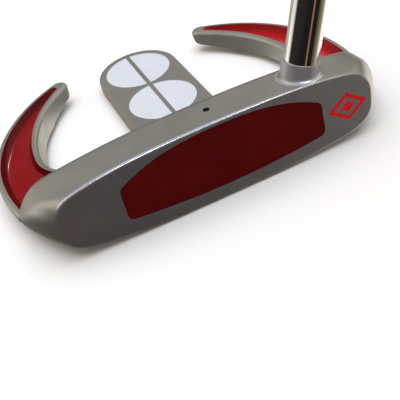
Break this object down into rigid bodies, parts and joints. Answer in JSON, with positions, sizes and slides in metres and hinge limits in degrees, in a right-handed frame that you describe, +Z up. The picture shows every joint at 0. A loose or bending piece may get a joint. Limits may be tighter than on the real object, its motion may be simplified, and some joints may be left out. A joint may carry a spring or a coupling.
{
  "type": "mallet putter",
  "caption": "Right-handed golf putter: winged grey mallet head with a soft red face insert, a disc alignment tang, a leaning stepped steel shaft and a flat-fronted rubber grip.",
  "frame": {"origin": "on the ground, in the middle of the flat strip of the sole, under the tang", "axes": "+Z up with the club soled at address, -Y the way the ball leaves (out of the face), +X towards the heel and the golfer, so the shaft leans towards +X"},
  "size_m": [0.3493, 0.0944, 0.8292],
  "materials": {
    "satin_steel": "grey satin plating over cast steel, faint fine texture",
    "insert_red": "dark red soft polymer, fine milled lines",
    "glue": "cured adhesive film",
    "tray_red": "glossy translucent red enamel",
    "disc_white": "smooth cool white enamel",
    "dot_black": "black enamel",
    "badge_red": "glossy red enamel",
    "epoxy": "cured epoxy",
    "shaft_chrome": "polished chrome plate",
    "tape": "adhesive paper tape",
    "grip_rubber": "matt black moulded rubber",
    "cap_rubber": "satin black hard rubber"
  },
  "bodies": {
    "root": {"head_casting": "satin_steel", "face_insert": "insert_red", "insert_glue": "glue", "heel_wing_tray": "tray_red", "toe_wing_tray": "tray_red", "front_disc_heel_half": "disc_white", "front_disc_toe_half": "disc_white", "rear_disc_heel_half": "disc_white", "rear_disc_toe_half": "disc_white", "sight_dot_enamel": "dot_black", "badge_ring_enamel": "badge_red", "badge_core_enamel": "badge_red", "hosel_epoxy": "epoxy", "shaft": "shaft_chrome", "grip_tape": "tape", "grip_sleeve": "grip_rubber", "grip_cap": "cap_rubber"}
  },
  "joints": []
}
